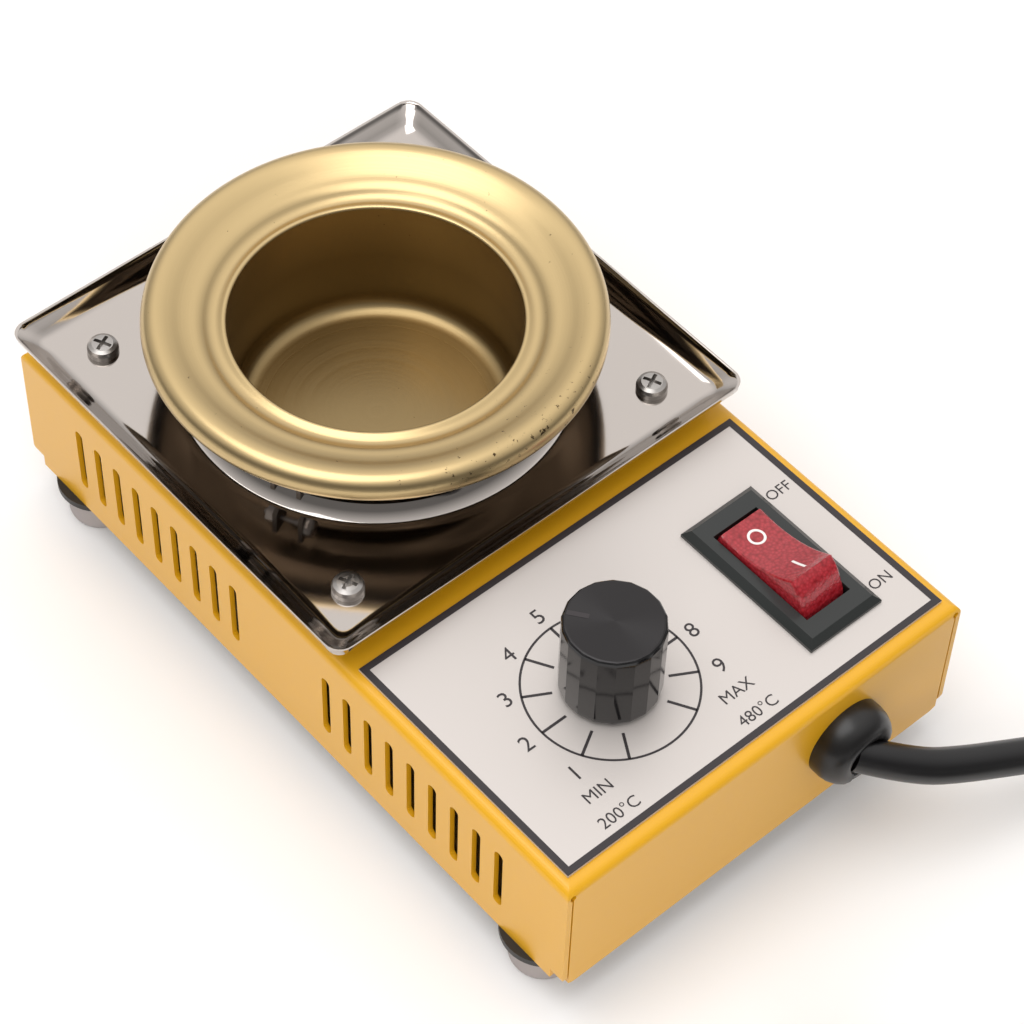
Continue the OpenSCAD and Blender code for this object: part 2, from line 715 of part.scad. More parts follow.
// Faceted cap with a hub for the shaft and a pointer groove on top
module knob() {
    low = panel_z + knob_gap;
    high = top_z + knob_top;
    flats = [for (i = [0:knob_flats - 1]) let (a = (i + 0.5) * 360 / knob_flats)
        [knob_r * cos(a), knob_r * sin(a)]];
    color("#202020") translate([dial_x, knob_y, 0]) difference() {
        intersection() {
            translate([0, 0, low]) linear_extrude(high - low) polygon(flats);
            rotate_extrude($fn = 96)
                polygon([[0, low - 1], [knob_r - 0.3, low - 1], [knob_r + 0.2, low + 1.5],
                         [knob_r + 0.2, high - 0.9], [knob_r - 0.3, high], [0, high]]);
        }
        difference() {
            translate([0, 0, low - 1])
                cylinder(r = knob_r - knob_wall, h = high - knob_roof - low + 1, $fn = 64);
            translate([0, 0, hub_z]) cylinder(r = hub_r, h = 40, $fn = 48);
        }
        translate([0, 0, hub_z - 1])
            cylinder(r = shaft_r + running_gap, h = shaft_top - hub_z + 1.3, $fn = 48);
        rotate(pointer_angle) translate([knob_r * 0.48, -groove_w / 2, high - groove_d])
            cube([knob_r * 0.44, groove_w, 2 * groove_d]);
    }
}

// ---------- switch ----------

module switch_body() {
    bevel = 1.2;
    color("#262A2A") translate([switch_x, rocker_y, 0]) difference() {
        union() {
            intersection() {
                rotate([90, 0, 0]) linear_extrude(bezel_l, center = true)
                    polygon([[-bezel_w / 2, panel_z], [bezel_w / 2, panel_z],
                             [bezel_w / 2, panel_z + 0.6], [bezel_w / 2 - bevel, panel_z + bezel_t],
                             [-bezel_w / 2 + bevel, panel_z + bezel_t], [-bezel_w / 2, panel_z + 0.6]]);
                rotate([90, 0, 90]) linear_extrude(bezel_w, center = true)
                    polygon([[-bezel_l / 2, panel_z], [bezel_l / 2, panel_z],
                             [bezel_l / 2, panel_z + 0.6], [bezel_l / 2 - bevel, panel_z + bezel_t],
                             [-bezel_l / 2 + bevel, panel_z + bezel_t], [-bezel_l / 2, panel_z + 0.6]]);
            }
            translate([-case_w / 2, -case_l / 2, case_z]) cube([case_w, case_l, case_d + 0.2]);
            // Spring wings that hold the case under the sheet
            for (s = [-1, 1]) translate([0, s * case_l / 2, 0]) rotate([90, 0, 90])
                linear_extrude(6, center = true)
                    polygon([[-0.5 * s, under_top - seat_gap], [1.3 * s, under_top - seat_gap],
                             [0, under_top - 7], [-0.5 * s, under_top - 7]]);
        }
        translate([-well_w / 2, -well_l / 2, well_z]) cube([well_w, well_l, 40]);
        translate([0, 0, pivot_z]) rotate([0, 90, 0])
            cylinder(r = pin_r + running_gap, h = rocker_w + 2 * pin_len + 0.4, center = true, $fn = 32);
    }
}

module switch_terminals() {
    blade_l = case_z - base_top - blade_gap;
    color("gold") translate([switch_x, rocker_y, case_z - blade_l])
        for (sx = [-1, 1], sy = [-1, 1]) translate([sx * 3.2 - 0.4, sy * 7 - 2.4, 0])
            cube([0.8, 4.8, blade_l]);
}

module neon_lamp() {
    color("orange") translate([switch_x, rocker_y, pivot_z + 0.4]) {
        rotate([90, 0, 0]) cylinder(r = 1.5, h = 6, center = true, $fn = 32);
        for (s = [-1, 1]) translate([0, s * 2, well_z - pivot_z - 0.4])
            cylinder(r = 0.35, h = pivot_z - well_z, $fn = 16);
    }
}

// Side section: a hollow top between two ridges, sloped noses and straight ends
function rocker_half() = let (ridge = 8.3, rise = 7.6, dish = 5.9)
    concat([for (i = [1:8]) let (s = i / 8) [ridge * s, dish + (rise - dish) * s * s]],
           [[rocker_end - 0.8, 5.2], [rocker_end, 1.5], [rocker_end, -1.5],
            [rocker_end - 0.8, -rocker_low]]);

module rocker() {
    h = rocker_half();
    n = len(h);
    section = concat([[0, 5.9]], h, [for (i = [0:n - 1]) [-h[n - 1 - i][0], h[n - 1 - i][1]]]);
    color("#B02A30") translate([switch_x, rocker_y, pivot_z]) rotate([-rocker_tilt, 0, 0]) {
        difference() {
            rotate([90, 0, 90]) linear_extrude(rocker_w, center = true) polygon(section);
            translate([0, 0, -rocker_low - 1])
                linear_extrude(rocker_low + 1 + 4.2) square([rocker_w - 2.4, 15], center = true);
        }
        for (s = [-1, 1]) translate([s * (rocker_w + pin_len) / 2, 0, 0]) rotate([0, 90, 0])
            cylinder(r = pin_r, h = pin_len + 0.4, center = true, $fn = 32);
    }
}

// ---------- electronics ----------

module circuit_board() {
    color("seagreen") translate([board_x, board_y, board_z]) difference() {
        translate([-board_w / 2, -board_l / 2, 0]) cube([board_w, board_l, board_t]);
        at_corners(stand_x, stand_y) translate([0, 0, -1])
            cylinder(r = m3_r + thread_gap, h = board_t + 2, $fn = 32);
    }
}

module board_standoffs() {
    color("silver") translate([board_x, board_y, base_top]) at_corners(stand_x, stand_y)
        difference() {
            cylinder(r = 2.6, h = standoff_h, $fn = 32);
            translate([0, 0, -1]) cylinder(r = m3_r + seat_gap, h = standoff_h + 2, $fn = 32);
        }
}

// One screw from above into each stand-off and one from below
module board_screws() {
    len = standoff_h * 0.45;
    color("silver") translate([board_x, board_y, 0]) at_corners(stand_x, stand_y) {
        translate([0, 0, board_top]) pan_screw(board_t + len);
        translate([0, 0, foot_h]) mirror([0, 0, 1]) pan_screw(base_t + len);
    }
}

// Extruded comb along the back edge of the board
module heat_sink() {
    back_t = 1.6;
    color("gray") translate([board_x - sink_w / 2, sink_y, board_top]) {
        cube([sink_w, back_t, sink_h]);
        for (k = [0:6]) translate([k * (sink_w - fin_t) / 6, back_t - 0.2, 0])
            cube([fin_t, fin_l, sink_h]);
    }
}

module triac() {
    color("#303030") translate([board_x, sink_y, board_top]) {
        translate([-5, -1.3, 2.5]) difference() {
            cube([10, 1.3, 12]);
            translate([5, -1, 9.6]) rotate([-90, 0, 0]) cylinder(r = 1.6, h = 4, $fn = 24);
        }
        translate([-5, -4.4, 2.5]) cube([10, 3.2, 7.4]);
        for (k = [-1:1]) translate([k * 2.5 - 0.4, -3, 0]) cube([0.8, 0.5, 2.7]);
    }
}

module film_capacitor() {
    color("royalblue") translate([board_x - 9, board_y - 9, board_top + part_h / 2])
        cube([13, 6, part_h], center = true);
}

module choke() {
    color("darkorange") translate([board_x + 8, board_y - 8.2, board_top + 2.6])
        rotate_extrude($fn = 48) translate([4.8, 0]) circle(r = 2.6, $fn = 24);
}

// Axial part lying on the board with its two legs
module axial_part(r, l) {
    translate([0, 0, r + 0.2]) {
        rotate([90, 0, 0]) cylinder(r = r, h = l, center = true, $fn = 24);
        rotate([90, 0, 0]) cylinder(r = 0.3, h = l + 3, center = true, $fn = 16);
    }
    for (s = [-1, 1]) translate([0, s * (l / 2 + 1.5), 0]) cylinder(r = 0.3, h = r + 0.4, $fn = 16);
}

module resistors() {
    color("tan") translate([board_x, board_y, board_top]) {
        translate([-17, 4, 0]) axial_part(1.2, 6.4);
        translate([-13, 4, 0]) axial_part(1.2, 6.4);
        translate([-9, 4, 0]) axial_part(0.9, 4);
    }
}

module terminal_block() {
    ways = 3;
    pitch = 4;
    color("limegreen") translate([board_x + board_w / 2 - 8, board_y - 0.4, board_top]) difference() {
        cube([8, ways * pitch, part_h]);
        for (k = [0:ways - 1]) translate([0, (k + 0.5) * pitch, 0]) {
            translate([3.6, 0, part_h - 2]) cylinder(r = 1.5, h = 4, $fn = 24);
            translate([5, -1.4, 1.4]) cube([4, 2.8, 3.4]);
        }
    }
}

// Welded stud for the earth lead with its ring tag and nut
module earth_stud() {
    stud_r = 2;
    tag_r = 4;
    tag_t = 0.8;
    color("silver") translate([board_x + board_w / 2 + tag_r + 0.6, board_y + board_l / 2, base_top]) {
        cylinder(r = stud_r, h = 9, $fn = 32);
        difference() {
            union() {
                cylinder(r = tag_r, h = tag_t, $fn = 32);
                translate([-1.6, 2, 0]) cube([3.2, 10, tag_t]);
            }
            translate([0, 0, -1]) cylinder(r = stud_r, h = 4, $fn = 32);
        }
        translate([0, 0, tag_t]) hex_nut(tag_r, 3, stud_r);
    }
}

// ---------- cord ----------

// Strain-relief bush: head outside with a slanted channel, neck, snap ring inside
module cord_gland() {
    o = gland_out;
    d = cord_route[1] - cord_route[0];
    color("#1C1C1C") difference() {
        translate([gland_x, -box_l / 2, gland_z]) rotate([90, 0, 0]) rotate_extrude($fn = 64)
            polygon([[0, -sheet_t - 7], [4.6, -sheet_t - 7], [gland_neck_r - 0.6, -sheet_t - 2.5],
                     [gland_neck_r + 0.5, -sheet_t - 0.6], [gland_neck_r + 0.5, -sheet_t - 0.1],
                     [gland_neck_r, -sheet_t - 0.1], [gland_neck_r, 0], [gland_r, 0],
                     [gland_r, 1.6], [gland_r - 0.5, o - 1.4], [gland_r - 1.6, o], [0, o]]);
        translate(cord_route[0])
            rotate([0, acos(d[2] / norm(d)), atan2(d[1], d[0])])
                cylinder(r = cord_r + cord_gap, h = 20, $fn = 48);
    }
}

function unit(v) = v / norm(v);

// Tube of radius r swept along the points p with n sides
module tube(p, r, n = 10) {
    k = len(p);
    tangent = [for (i = [0:k - 1]) unit(p[min(i + 1, k - 1)] - p[max(i - 1, 0)])];
    ring = [for (i = [0:k - 1])
        let (side = unit(cross(tangent[i], [0, 0, 1])), up = cross(side, tangent[i]))
        for (j = [0:n - 1]) let (a = 360 * (j + 0.5) / n)
            p[i] + r * (cos(a) * side + sin(a) * up)];
    ends = [[for (j = [0:n - 1]) n - 1 - j], [for (j = [0:n - 1]) (k - 1) * n + j]];
    sides = [for (i = [0:k - 2], j = [0:n - 1]) let (m = (j + 1) % n)
        [i * n + j, i * n + m, (i + 1) * n + m, (i + 1) * n + j]];
    polyhedron(points = ring, faces = concat(ends, sides), convexity = 6);
}

module power_cord() {
    color("#1C1C1C") tube(cord_route, cord_r);
}

module cord_end() {
    color("#1C1C1C") tube(end_route, cord_r);
}

// Outline of the coil's turns in section, grown by g
function coil_section(g) = [
    [coil_in - g, coil_z + 2], [coil_in + 2, coil_z - g], [coil_out - 3.4, coil_z - g],
    [coil_out - 1.4 + g, coil_z + 2], [coil_out + g, coil_z + 7],
    [coil_out + g, coil_z + coil_h - 2], [coil_out - 2, coil_z + coil_h + g],
    [coil_in + 2, coil_z + coil_h + g], [coil_in - g, coil_z + coil_h - 2]];

module cord_coil() {
    color("#1C1C1C") translate([coil_c[0], coil_c[1], 0])
        rotate_extrude($fn = 64) polygon(coil_section(0));
}

// Short strap round the turns
module coil_tie() {
    color("#303030") translate([coil_c[0], coil_c[1], 0]) rotate(tie_from)
        rotate_extrude(angle = tie_span, $fn = 96) difference() {
            polygon(coil_section(0.1 + tie_t));
            polygon(coil_section(0.1));
        }
}

// Where the lead ends, with +Z out of its end
module at_lead_end() {
    translate(end_route[len(end_route) - 1]) rotate([-90, 0, 0]) children();
}

// Moulded mains plug with a ribbed tail, lying on its flat side
module plug_body() {
    color("#1C1C1C") at_lead_end() {
        rotate_extrude($fn = 48)
            polygon(concat([[0, 0], [cord_r + 1.2, 0]],
                           [for (k = [0:4]) for (q = [[0.2, 0.8], [0.2, 2.2], [-0.5, 2.5], [-0.5, 3.2]])
                               [cord_r + 1.4 + k * 0.45 + q[0], k * 3.4 + q[1]]],
                           [[cord_r + 3.4, tail_len], [0, tail_len]]));
        translate([0, 0, tail_len - 0.2]) linear_extrude(plug_len) {
            square([plug_w, plug_h - 8], center = true);
            square([plug_w - 8, plug_h], center = true);
            at_corners(plug_w / 2 - 4, plug_h / 2 - 4) circle(r = 4, $fn = 32);
        }
    }
}

// Two flat blades and the round earth pin
module plug_pins() {
    blade_l = 17;
    blade_x = 6.35;
    color("silver") at_lead_end() translate([0, 0, tail_len + plug_len - 0.2]) {
        for (s = [-1, 1]) translate([s * blade_x, -2.6, blade_l / 2])
            cube([1.5, 6.3, blade_l], center = true);
        translate([0, 5.2, 0]) cylinder(r = 2.4, h = blade_l + 2, $fn = 32);
    }
}

housing();
base_plate();
foot_cups();
feet();
foot_screws();
tray();
tray_spacers();
tray_screws();
tray_nuts();
crucible();
heater_mica();
heater_band();
clamp_screw();
heater_terminals();
insulation_disc();
heater_cradle();
cradle_screws();
panel_plate();
potentiometer();
pot_washer();
pot_nut();
control_shaft();
knob();
switch_body();
switch_terminals();
neon_lamp();
rocker();
circuit_board();
board_standoffs();
board_screws();
heat_sink();
triac();
film_capacitor();
choke();
resistors();
terminal_block();
earth_stud();
cord_gland();
power_cord();
cord_coil();
cord_end();
coil_tie();
plug_body();
plug_pins();
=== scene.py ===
import math

import bpy
import numpy as np
from mathutils import Matrix, Vector


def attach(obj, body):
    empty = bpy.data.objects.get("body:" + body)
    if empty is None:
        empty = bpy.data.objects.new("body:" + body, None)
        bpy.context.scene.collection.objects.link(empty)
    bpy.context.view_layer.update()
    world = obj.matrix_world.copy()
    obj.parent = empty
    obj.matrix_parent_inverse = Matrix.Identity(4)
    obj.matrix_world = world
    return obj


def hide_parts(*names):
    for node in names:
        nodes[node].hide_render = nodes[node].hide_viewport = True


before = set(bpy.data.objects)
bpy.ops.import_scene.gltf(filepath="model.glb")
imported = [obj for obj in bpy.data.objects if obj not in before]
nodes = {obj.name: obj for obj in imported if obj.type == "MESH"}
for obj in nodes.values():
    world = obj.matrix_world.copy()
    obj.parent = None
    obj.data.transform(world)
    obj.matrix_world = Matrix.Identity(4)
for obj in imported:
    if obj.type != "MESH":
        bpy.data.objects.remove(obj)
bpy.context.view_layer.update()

# ---------- camera ----------
# A long lens looks down on the front left corner of the box, turned a little in its own plane.
# All three angles, the lens and the place were solved from the edges of the box.

AZIMUTH = math.radians(-42.51)
ELEVATION = math.radians(51.76)
ROLL = math.radians(2.08)


def aim_camera():
    """Places the camera from its two angles of view and its roll, and makes it the scene's."""
    back = Vector((math.sin(AZIMUTH) * math.cos(ELEVATION),
                   -math.cos(AZIMUTH) * math.cos(ELEVATION), math.sin(ELEVATION)))
    side = Vector((0, 0, 1)).cross(back).normalized()
    up = back.cross(side)
    right = math.cos(ROLL) * side + math.sin(ROLL) * up
    top = -math.sin(ROLL) * side + math.cos(ROLL) * up
    data = bpy.data.cameras.new("camera")
    data.lens = 110.48
    data.sensor_width = 36
    data.clip_start = 0.05
    camera = bpy.data.objects.new("camera", data)
    bpy.context.scene.collection.objects.link(camera)
    turn = Matrix((right, top, back)).transposed().to_4x4()
    camera.matrix_world = Matrix.Translation((-0.2197, -0.24846, 0.44761)) @ turn
    bpy.context.scene.camera = camera


aim_camera()


# ---------- mains lead ----------
# A round black PVC lead, 6.2 mm thick and 1.273 m long. It leaves the bush slantwise, falls to
# the bench in one slack run, goes a little over five times round in a coil of two layers, held
# by a tie, and ends in its plug beside it.

CORD_R = 0.0031


def linear(code):
    """An sRGB hex code as the linear colour that a shader takes."""
    parts = [int(code[i:i + 2], 16) / 255 for i in (1, 3, 5)]
    return [c / 12.92 if c <= 0.04045 else ((c + 0.055) / 1.055) ** 2.4 for c in parts] + [1]


def add(material, kind, inputs=None, links=None, **settings):
    """Adds one shader node: its settings, its constant inputs and the sockets linked to it."""
    n = material.node_tree.nodes.new(kind)
    for key, value in settings.items():
        setattr(n, key, value)
    for key, value in (inputs or {}).items():
        n.inputs[key].default_value = value
    for key, socket in (links or {}).items():
        material.node_tree.links.new(socket, n.inputs[key])
    return n


def join(material, output, shader, name):
    """Links a node's output to the shader's input of that name."""
    material.node_tree.links.new(output, shader.inputs[name])


def new_material(name, colour, metallic=0.0, roughness=0.5):
    """A material with one principled shader, whose node it returns too."""
    material = bpy.data.materials.new(name)
    material.use_nodes = True
    shader = material.node_tree.nodes["Principled BSDF"]
    shader.inputs["Base Color"].default_value = linear(colour)
    shader.inputs["Metallic"].default_value = metallic
    shader.inputs["Roughness"].default_value = roughness
    return material, shader


def add_piece(name, verts, faces, material, smooth=True, angle=35):
    """A mesh object from points in metres, shaded smooth except at edges over the angle."""
    mesh = bpy.data.meshes.new(name)
    mesh.from_pydata(np.asarray(verts, float).tolist(), [], faces)
    mesh.validate()
    if smooth:
        mesh.shade_smooth()
        mesh.set_sharp_from_angle(angle=math.radians(angle))
    mesh.materials.append(material)
    piece = bpy.data.objects.new(name, mesh)
    bpy.context.scene.collection.objects.link(piece)
    return piece


def smooth_path(points, step):
    """Points about one step apart on a curve through the given ones: between two of them it is the
    cubic whose slope at each is half the way from the point before it to the point after it."""
    p = np.asarray(points, float)
    p = np.vstack([2 * p[0] - p[1], p, 2 * p[-1] - p[-2]])
    out = []
    for i in range(1, len(p) - 2):
        n = max(1, int(round(np.linalg.norm(p[i + 1] - p[i]) / step)))
        t = np.arange(n)[:, None] / n
        out.append(0.5 * (2 * p[i] + (p[i + 1] - p[i - 1]) * t
                          + (2 * p[i - 1] - 5 * p[i] + 4 * p[i + 1] - p[i + 2]) * t ** 2
                          + (3 * p[i] - p[i - 1] - 3 * p[i + 1] + p[i + 2]) * t ** 3))
    return np.vstack(out + [p[-2:-1]])


def sweep(path, section):
    """Closed tube: at each point of the path the section's (side, up) pairs are carried on the
    plane across the path, with the side vector always level. The ends are flat faces."""
    path = np.asarray(path, float)
    along = np.gradient(path, axis=0)
    along /= np.linalg.norm(along, axis=1)[:, None]
    side = np.cross(along, (0, 0, 1))
    side /= np.linalg.norm(side, axis=1)[:, None]
    top = np.cross(side, along)
    s = np.asarray(section, float)
    k, n = len(path), len(s)
    verts = (path[:, None] + s[None, :, :1] * side[:, None] + s[None, :, 1:] * top[:, None])
    faces = [(i * n + j, i * n + (j + 1) % n, (i + 1) * n + (j + 1) % n, (i + 1) * n + j)
             for i in range(k - 1) for j in range(n)]
    faces += [tuple(range(n - 1, -1, -1)), tuple((k - 1) * n + j for j in range(n))]
    return verts.reshape(-1, 3), faces


def ring(radius, count):
    """Points of a circle as (side, up) pairs."""
    a = np.arange(count) * 2 * math.pi / count
    return np.stack([radius * np.cos(a), radius * np.sin(a)], 1)


CORD_ROUTE = np.array([(16.1, -75.6, 23.8), (18.9, -78.2, 22.6), (22.3, -80.9, 21),
                       (26.9, -83.7, 18.9), (33.2, -86.3, 16.6), (39.8, -88.6, 14.3),
                       (46.6, -91, 11.9), (54.5, -95.1, 9.5), (60.7, -100.7, 7.3),
                       (65.2, -107.8, 5.6), (67.7, -115.7, 4.5), (68.2, -122, 4),
                       (68.3, -131, 3.7), (68.3, -140, 3.6), (68.3, -149, 3.6),
                       (68.3, -157, 3.6)]) / 1000
END_ROUTE = np.array([(7.2, -203.1, 9.8), (-0.8, -198.5, 9.7), (-8.5, -194, 9.5),
                      (-15, -190.3, 9.3), (-21.9, -184.5, 9), (-26.4, -176.7, 8.7),
                      (-28, -168, 8.6)]) / 1000
COIL_CENTRE = np.array((0.028, -0.167))


def coil_path():
    """The turns of the coil, clockwise seen from above: two and a half flat turns inwards on the
    bench, a short climb of one diameter, then outwards again on top of them."""
    lay, first, low = 2 * CORD_R, 0.0403, 0.0036
    inward = np.linspace(0, 900, 101)
    climb = np.linspace(900, 940, 6)[1:]
    outward = np.linspace(940, 1920, 110)[1:]
    inner = first - 2.5 * lay
    radius = np.concatenate([first - inward / 360 * lay, np.full(5, inner),
                             inner + (outward - 940) / 360 * lay])
    height = np.concatenate([np.full(101, low), low + lay * (climb - 900) / 40,
                             np.full(109, low + lay)])
    angle = np.radians(-np.concatenate([inward, climb, outward]))
    return np.stack([COIL_CENTRE[0] + radius * np.cos(angle),
                     COIL_CENTRE[1] + radius * np.sin(angle), height], 1)


def sector(centre, profile, start, end, count):
    """Solid swept about the lead's exit axis, which points to -Y, from one angle to another; the
    profile is (radius, distance out of the wall) and its two end faces are flat."""
    a = np.radians(np.linspace(start, end, count))
    n = len(profile)
    verts = [(centre[0] + r * math.cos(t), centre[1] - out, centre[2] + r * math.sin(t))
             for t in a for r, out in profile]
    faces = [(i * n + j, i * n + (j + 1) % n, (i + 1) * n + (j + 1) % n, (i + 1) * n + j)
             for i in range(count - 1) for j in range(n)]
    faces += [tuple(range(n - 1, -1, -1)), tuple((count - 1) * n + j for j in range(n))]
    return np.array(verts), faces


def make_bush():
    """A domed head in two parts that clamp the lead: the large one wraps over the top, the small
    one latches under it, and the slot between them lets the lead out slantwise."""
    centre = (0.0175, -0.0715, 0.0231)
    head = [(3.6, 0.0), (7.6, 0.0), (7.65, 1.6), (7.45, 3.0), (6.9, 4.3), (6.1, 5.3), (5.1, 5.9),
            (4.2, 6.0), (3.7, 5.7), (3.6, 5.2)]
    small = [(3.9, 0.0), (7.2, 0.0), (7.3, 1.6), (7.1, 3.2), (6.4, 4.6), (5.6, 5.2), (4.6, 5.3),
             (3.9, 4.8)]
    neck = [(0.5, -8.0), (4.6, -8.0), (5.6, -3.5), (6.7, -1.6), (6.7, -1.1), (6.2, -1.05),
            (6.2, 0.3), (0.5, 0.3)]
    parts = [sector(centre, [(r / 1000, y / 1000) for r, y in shape], a, b, n)
             for shape, a, b, n in ((head, 12, 226, 60), (small, 232, 300, 24),
                                    (neck, 0, 360, 65))]
    verts, faces, first = [], [], 0
    for points, sides in parts:
        verts.append(points)
        faces += [tuple(k + first for k in face) for face in sides]
        first += len(points)
    bush = add_piece("lead_bush", np.vstack(verts), faces, moulded, angle=40)
    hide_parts("cord_gland")
    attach(bush, "base")
    return bush


def make_cord(bush):
    """The whole lead as one swept tube."""
    path = np.vstack([smooth_path(CORD_ROUTE, 0.002), coil_path()[:-1],
                      smooth_path(END_ROUTE, 0.002)])
    verts, faces = sweep(path, ring(CORD_R, 20))
    lead = add_piece("mains_lead", verts, faces, black_pvc)
    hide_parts("power_cord", "cord_coil", "cord_end")
    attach(lead, "base")


# Smooth black plastic with a soft highlight along the lead.
black_pvc, _ = new_material("black PVC", "#111011", 0.0, 0.34)
# The bush is harder and a little glossier than the lead.
moulded, _ = new_material("black moulded nylon", "#131212", 0.0, 0.32)
make_cord(make_bush())

# ---------- housing ----------
# One sheet of steel folded into a box without a floor, its vent slots punched before the folds,
# then powder coated a deep yellow.


def object_mm(material, scale=1000.0):
    """Object coordinates in millimetres times a scale, as a texture vector."""
    place = add(material, "ShaderNodeTexCoord")
    grow = add(material, "ShaderNodeVectorMath", {1: (scale,) * 3}, {0: place.outputs["Object"]},
               operation="MULTIPLY")
    return grow.outputs[0]


def ripple(material, shader, size, height, detail=2.0):
    """Bumps of about that size, in millimetres, as in a cast, moulded or sprayed surface."""
    noise = add(material, "ShaderNodeTexNoise", {"Scale": 1 / size, "Detail": detail},
                {"Vector": object_mm(material)})
    bump = add(material, "ShaderNodeBump", {"Strength": 1.0, "Distance": height / 1000},
               {"Height": noise.outputs["Fac"]})
    join(material, bump.outputs["Normal"], shader, "Normal")


def give(material, *names):
    """Puts the material on the CAD nodes of those names."""
    for name in names:
        nodes[name].data.materials.clear()
        nodes[name].data.materials.append(material)


# Satin, with the faint ripple and the thin clear shine that such a coat has.
powder, shader = new_material("yellow powder coat", "#DFA51A", 0.0, 0.33)
shader.inputs["Coat Weight"].default_value = 0.15
shader.inputs["Coat Roughness"].default_value = 0.2
ripple(powder, shader, 0.9, 0.012)
give(powder, "housing")

# ---------- base plate and fixings ----------
# The plate that closes the box from below, and the screws, spacers, nuts and brackets, all of
# zinc-plated steel: pale grey, with small cloudy patches where the plating is duller.


def make_zinc():
    """Bright zinc with patches a few millimetres wide that are rougher than the rest."""
    material, shader = new_material("zinc-plated steel", "#A9A5A1", 1.0, 0.3)
    patch = add(material, "ShaderNodeTexNoise", {"Scale": 0.35, "Detail": 3.0},
                {"Vector": object_mm(material)})
    spread = add(material, "ShaderNodeMapRange", {"To Min": 0.2, "To Max": 0.42},
                 {"Value": patch.outputs["Fac"]})
    join(material, spread.outputs["Result"], shader, "Roughness")
    return material


zinc = make_zinc()
give(zinc, "base_plate", "foot_screws", "tray_spacers", "tray_screws", "tray_nuts",
     "clamp_screw", "heater_cradle", "cradle_screws", "potentiometer", "pot_washer", "pot_nut",
     "board_standoffs", "board_screws")

# ---------- feet ----------
# Four round feet of grey moulded rubber under black cup washers, with one screw up through each
# into the base plate.

# Dull, with a fine grain that takes the shine off its edge.
grey_rubber, shader = new_material("grey rubber", "#A89F9C", 0.0, 0.62)
ripple(grey_rubber, shader, 0.35, 0.01)
give(grey_rubber, "feet")
# Smoother than the rubber, so it shows as a dark ring above it.
black_cup, shader = new_material("black moulded washer", "#1D1B1B", 0.0, 0.45)
ripple(black_cup, shader, 0.5, 0.006)
give(black_cup, "foot_cups")

# ---------- drip tray ----------
# A square of stainless sheet with its rim pressed up and a collar drawn up round the hole for
# the crucible. It is polished like a mirror and held by four screws on spacers.

TRAY_Y = 0.02675
TRAY_UNDER = 0.0391
TRAY_HALF = 0.04475


def square_radius(angle, half, corner):
    """How far the edge of a square with round corners is from its middle, in each direction."""
    c, s = np.abs(np.cos(angle)), np.abs(np.sin(angle))
    flat = half / np.maximum(c, s)
    k = half - corner
    b = k * (c + s)
    bend = b + np.sqrt(np.maximum(b * b - 2 * k * k + corner * corner, 0))
    inside = np.minimum(c, s) * flat > k
    return np.where(inside, bend, flat)


def skin(rings, closed=True):
    """Faces between neighbouring rings of equal count; the last joins the first if closed."""
    k, n = len(rings), len(rings[0])
    last = k if closed else k - 1
    faces = [(i * n + j, i * n + (j + 1) % n, ((i + 1) % k) * n + (j + 1) % n,
              ((i + 1) % k) * n + j) for i in range(last) for j in range(n)]
    return np.concatenate(rings), faces


def make_tray():
    """Rings that start as squares with round corners at the rim and turn into circles at the
    collar. The height is flat, then a hollow curve at the rim, and a steepening cone at the
    collar. The underside follows a sheet's thickness below."""
    count = 480
    angle = np.arange(count) * 2 * math.pi / count
    rim = [(TRAY_HALF, 0.0030, 3.40), (0.04455, 0.0030, 3.42), (0.04430, 0.0029, 3.25)]
    rim += [(TRAY_HALF - 0.0043 + 0.0014 + s * 0.0029, 0.0022, 3.4 * (0.26 + 0.74 * s ** 0.9))
            for s in (0.8, 0.6, 0.4, 0.2, 0.0)]
    rim += [(TRAY_HALF - 0.0053 + s * 0.0024, 0.0018, 3.4 * 0.26 * s * s)
            for s in (0.8, 0.6, 0.4, 0.2, 0.0)]
    thick = 0.0008
    rings = []
    for half, corner, z in rim:
        rings.append((square_radius(angle, half, corner), z / 1000 + thick))
    for r, z in ((0.0372, 0), (0.0358, 0), (0.0350, 0.02), (0.0345, 0.1)):
        rings.append((np.full(count, r), z / 1000 + thick))
    slope = [(0.0315 + 0.003 * (1 - s) * (1 - 0.25 * s), 2.6 * s ** 1.3) for s in
             np.linspace(0.12, 1, 9)]
    for r, z in slope:
        rings.append((np.full(count, r), z / 1000 + thick))
    rings.append((np.full(count, 0.03135), 0.0026 + 0.0007))
    for r, z in reversed(slope[:-1]):
        rings.append((np.full(count, r - 0.0003), z / 1000 + thick - 0.0006))
    rings.append((np.full(count, 0.0349), 0.0))
    rings.append((square_radius(angle, 0.0391, 0.0018), 0.0))
    for half, corner, z in reversed(rim[2:]):
        rings.append((square_radius(angle, half + 0.0002, corner), max(z / 1000 - 0.0001, 0)))
    verts, faces = skin([np.stack([r * np.cos(angle), TRAY_Y + r * np.sin(angle),
                                   np.full(count, TRAY_UNDER + z)], 1) for r, z in rings])
    tray = add_piece("tray_sheet", verts, faces, stainless, angle=40)
    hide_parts("tray")
    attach(tray, "base")


